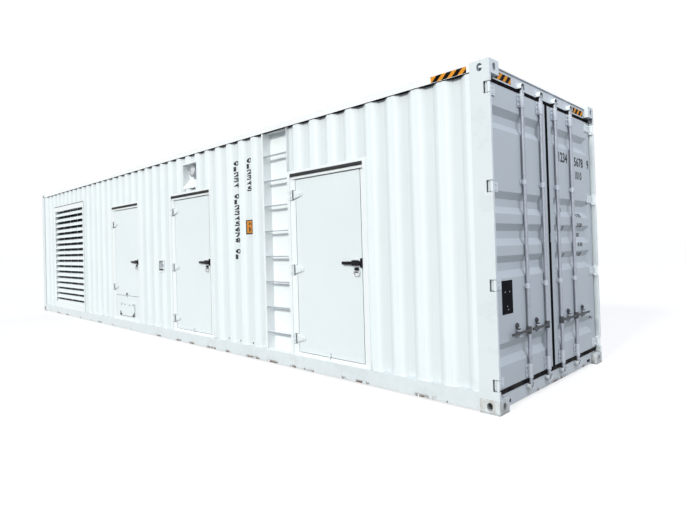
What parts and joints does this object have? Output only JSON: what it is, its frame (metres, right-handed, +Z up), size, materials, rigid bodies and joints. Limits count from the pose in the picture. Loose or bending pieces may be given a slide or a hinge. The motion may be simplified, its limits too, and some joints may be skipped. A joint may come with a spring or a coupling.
{
  "type": "containerized generator set enclosure",
  "caption": "Long white freight-container enclosure for a generator set, with an air louvre, hinged side doors, a recessed ladder and cargo doors with lock bars at one end.",
  "frame": {"origin": "on the ground under the middle of the container", "axes": "+X along the length towards the cargo doors, +Y away from the side with the louvre, ladder and hinged doors, +Z up"},
  "size_m": [12.192, 2.438, 2.896],
  "materials": {
    "white_paint": "semi-gloss white marine paint, lightly dusty",
    "underfloor_paint": "matt dark primer",
    "deck_board": "scuffed sealed plywood",
    "door_rubber": "matt extruded seal",
    "black_lever": "satin black",
    "black_plate": "satin black plate and button",
    "galvanized": "galvanized steel sprayed thin white",
    "lamp_metal": "cast lamp body",
    "hinge_paint": "painted and plated hinges and lock plates"
  },
  "bodies": {
    "container": {"bottom_rails": "white_paint", "cross_members": "underfloor_paint", "floor_deck": "deck_board", "corner_castings": "white_paint", "door_end_posts": "white_paint", "blank_end_posts": "white_paint", "top_rails": "white_paint", "door_header": "white_paint", "door_sill": "white_paint", "blank_end_beams": "white_paint", "roof_panel": "white_paint", "blank_end_wall": "white_paint", "near_wall_panels": "white_paint", "near_wall_lintels": "white_paint", "far_wall_panels": "white_paint", "far_wall_lintels": "white_paint", "louvre_frames": "white_paint", "louvre_blades": "white_paint", "side_door_frames": "white_paint", "far_door_frames": "white_paint", "far_doors": "white_paint", "side_hinge_brackets": "hinge_paint", "hatch_panel": "white_paint", "ladder_recess": "white_paint", "ladder_steps": "white_paint", "lamp_niche": "white_paint", "floodlight": "lamp_metal", "stop_box": "white_paint", "stop_button": "black_plate", "cam_keepers": "galvanized", "cargo_hinge_pins": "galvanized"},
    "cargo_door_left": {"cargo_door_left": "white_paint", "left_door_gasket": "door_rubber", "left_door_fittings": "galvanized", "marker_plate": "black_plate"},
    "cargo_door_right": {"cargo_door_right": "white_paint", "right_door_gasket": "door_rubber", "right_door_fittings": "galvanized"},
    "lock_1": {"lock_bar_1": "galvanized", "lock_handle_1": "galvanized"},
    "lock_2": {"lock_bar_2": "galvanized", "lock_handle_2": "galvanized"},
    "lock_3": {"lock_bar_3": "galvanized", "lock_handle_3": "galvanized"},
    "lock_4": {"lock_bar_4": "galvanized", "lock_handle_4": "galvanized"},
    "side_door_1": {"side_door_1": "white_paint", "side_door_1_fittings": "hinge_paint"},
    "side_door_2": {"side_door_2": "white_paint", "side_door_2_fittings": "hinge_paint"},
    "side_door_3": {"side_door_3": "white_paint", "side_door_3_fittings": "hinge_paint"},
    "side_handle_1": {"side_handle_1": "black_lever"},
    "side_handle_2": {"side_handle_2": "black_lever"},
    "side_handle_3": {"side_handle_3": "black_lever"},
    "cable_hatch": {"cable_hatch": "white_paint"}
  },
  "joints": [
    {"name": "cargo_door_left_hinge", "type": "hinge", "parent": "container", "child": "cargo_door_left", "pos_m": [6.079, -1.204, 1.454], "axis": [0, 0, -1], "range_deg": [0, 265]},
    {"name": "cargo_door_right_hinge", "type": "hinge", "parent": "container", "child": "cargo_door_right", "pos_m": [6.079, 1.204, 1.454], "axis": [0, 0, 1], "range_deg": [0, 265]},
    {"name": "lock_bar_1_turn", "type": "hinge", "parent": "cargo_door_left", "child": "lock_1", "pos_m": [6.067, -0.575, 1.454], "axis": [0, 0, -1], "range_deg": [-100, 0]},
    {"name": "lock_bar_2_turn", "type": "hinge", "parent": "cargo_door_left", "child": "lock_2", "pos_m": [6.067, -0.175, 1.454], "axis": [0, 0, -1], "range_deg": [-100, 0]},
    {"name": "lock_bar_3_turn", "type": "hinge", "parent": "cargo_door_right", "child": "lock_3", "pos_m": [6.067, 0.175, 1.454], "axis": [0, 0, 1], "range_deg": [-100, 0]},
    {"name": "lock_bar_4_turn", "type": "hinge", "parent": "cargo_door_right", "child": "lock_4", "pos_m": [6.067, 0.575, 1.454], "axis": [0, 0, 1], "range_deg": [-100, 0]},
    {"name": "side_door_1_hinge", "type": "hinge", "parent": "container", "child": "side_door_1", "pos_m": [-1.675, -1.206, 1.2], "axis": [0, 0, -1], "range_deg": [0, 170]},
    {"name": "side_door_2_hinge", "type": "hinge", "parent": "container", "child": "side_door_2", "pos_m": [0.681, -1.206, 1.2], "axis": [0, 0, -1], "range_deg": [0, 170]},
    {"name": "side_door_3_hinge", "type": "hinge", "parent": "container", "child": "side_door_3", "pos_m": [3.579, -1.206, 1.2], "axis": [0, 0, -1], "range_deg": [0, 170]},
    {"name": "side_handle_1_turn", "type": "hinge", "parent": "side_door_1", "child": "side_handle_1", "pos_m": [-0.699, -1.19, 1.223], "axis": [0, -1, 0], "range_deg": [-90, 0]},
    {"name": "side_handle_2_turn", "type": "hinge", "parent": "side_door_2", "child": "side_handle_2", "pos_m": [1.657, -1.19, 1.223], "axis": [0, -1, 0], "range_deg": [-90, 0]},
    {"name": "side_handle_3_turn", "type": "hinge", "parent": "side_door_3", "child": "side_handle_3", "pos_m": [4.555, -1.19, 1.223], "axis": [0, -1, 0], "range_deg": [-90, 0]},
    {"name": "cable_hatch_hinge", "type": "hinge", "parent": "container", "child": "cable_hatch", "pos_m": [-1.128, -1.188, 0.47], "axis": [-1, 0, 0], "range_deg": [0, 110]}
  ]
}
